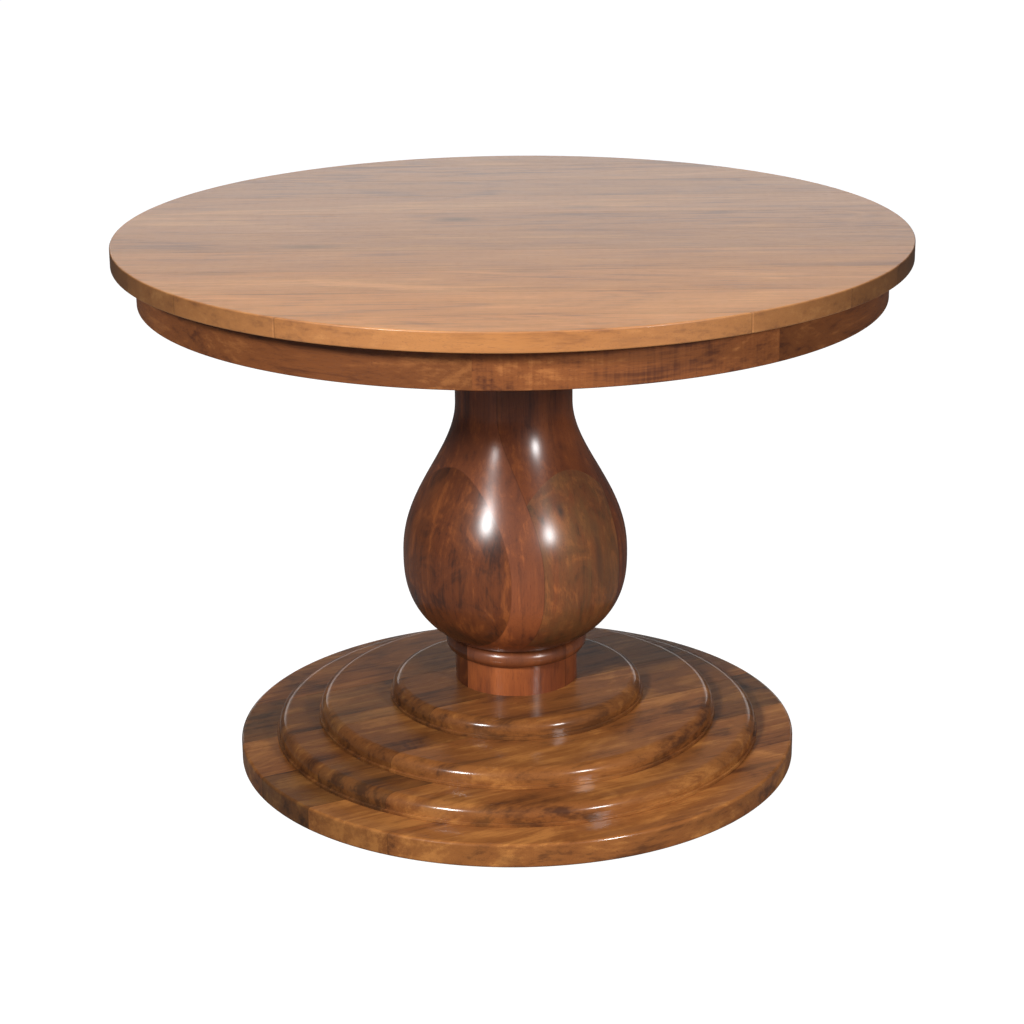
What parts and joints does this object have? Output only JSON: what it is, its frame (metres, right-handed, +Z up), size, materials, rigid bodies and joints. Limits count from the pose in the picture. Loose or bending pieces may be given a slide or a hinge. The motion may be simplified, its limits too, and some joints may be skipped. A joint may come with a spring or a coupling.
{
  "type": "round pedestal table",
  "caption": "Round dining table: a boarded disc top on a set-back apron ring, a turned bulb column on a collared foot, and a base of stepped, moulded discs.",
  "frame": {"origin": "on the floor, at the centre of the base, on the column's axis", "axes": "+Z up along the column's axis; +X along the boards of the top; -Y towards the viewer of the front"},
  "size_m": [1.08, 1.08, 0.76],
  "materials": {
    "top_wood": "satin lacquer over pale tan boards",
    "column_wood": "gloss lacquer over red-brown stain",
    "base_wood": "gloss lacquer over brown stain",
    "apron_wood": "satin lacquer over orange-brown stain",
    "raw_wood": "plain, sanded",
    "steel": "zinc plated",
    "glide": "dense felt"
  },
  "bodies": {
    "root": {"top_board_1": "top_wood", "top_board_2": "top_wood", "top_board_3": "top_wood", "top_board_4": "top_wood", "top_board_5": "top_wood", "top_board_6": "top_wood", "top_board_7": "top_wood", "top_board_8": "top_wood", "top_board_9": "top_wood", "top_board_10": "top_wood", "apron_segment_1": "apron_wood", "apron_segment_2": "apron_wood", "apron_segment_3": "apron_wood", "apron_segment_4": "apron_wood", "apron_segment_5": "apron_wood", "apron_segment_6": "apron_wood", "apron_segment_7": "apron_wood", "apron_segment_8": "apron_wood", "mounting_plate": "raw_wood", "batten_left": "raw_wood", "batten_right": "raw_wood", "column_dowels": "raw_wood", "core_middle": "column_wood", "core_front": "column_wood", "core_back": "column_wood", "cheek_front_left": "column_wood", "cheek_front_right": "column_wood", "cheek_back_left": "column_wood", "cheek_back_right": "column_wood", "foot_middle": "column_wood", "foot_cheek_left": "column_wood", "foot_cheek_right": "column_wood", "tier_1_board_1": "base_wood", "tier_1_board_2": "base_wood", "tier_1_board_3": "base_wood", "tier_1_board_4": "base_wood", "tier_1_board_5": "base_wood", "tier_1_board_6": "base_wood", "tier_2_board_1": "base_wood", "tier_2_board_2": "base_wood", "tier_2_board_3": "base_wood", "tier_2_board_4": "base_wood", "tier_2_board_5": "base_wood", "tier_3_board_1": "base_wood", "tier_3_board_2": "base_wood", "tier_3_board_3": "base_wood", "tier_3_board_4": "base_wood", "tier_4_board_1": "base_wood", "tier_4_board_2": "base_wood", "tier_4_board_3": "base_wood", "tie_rod": "steel", "rod_nuts": "steel", "rod_washers": "steel", "top_screws": "steel", "apron_screws": "steel", "column_screws": "steel", "tier_screws": "steel", "floor_glides": "glide"}
  },
  "joints": []
}
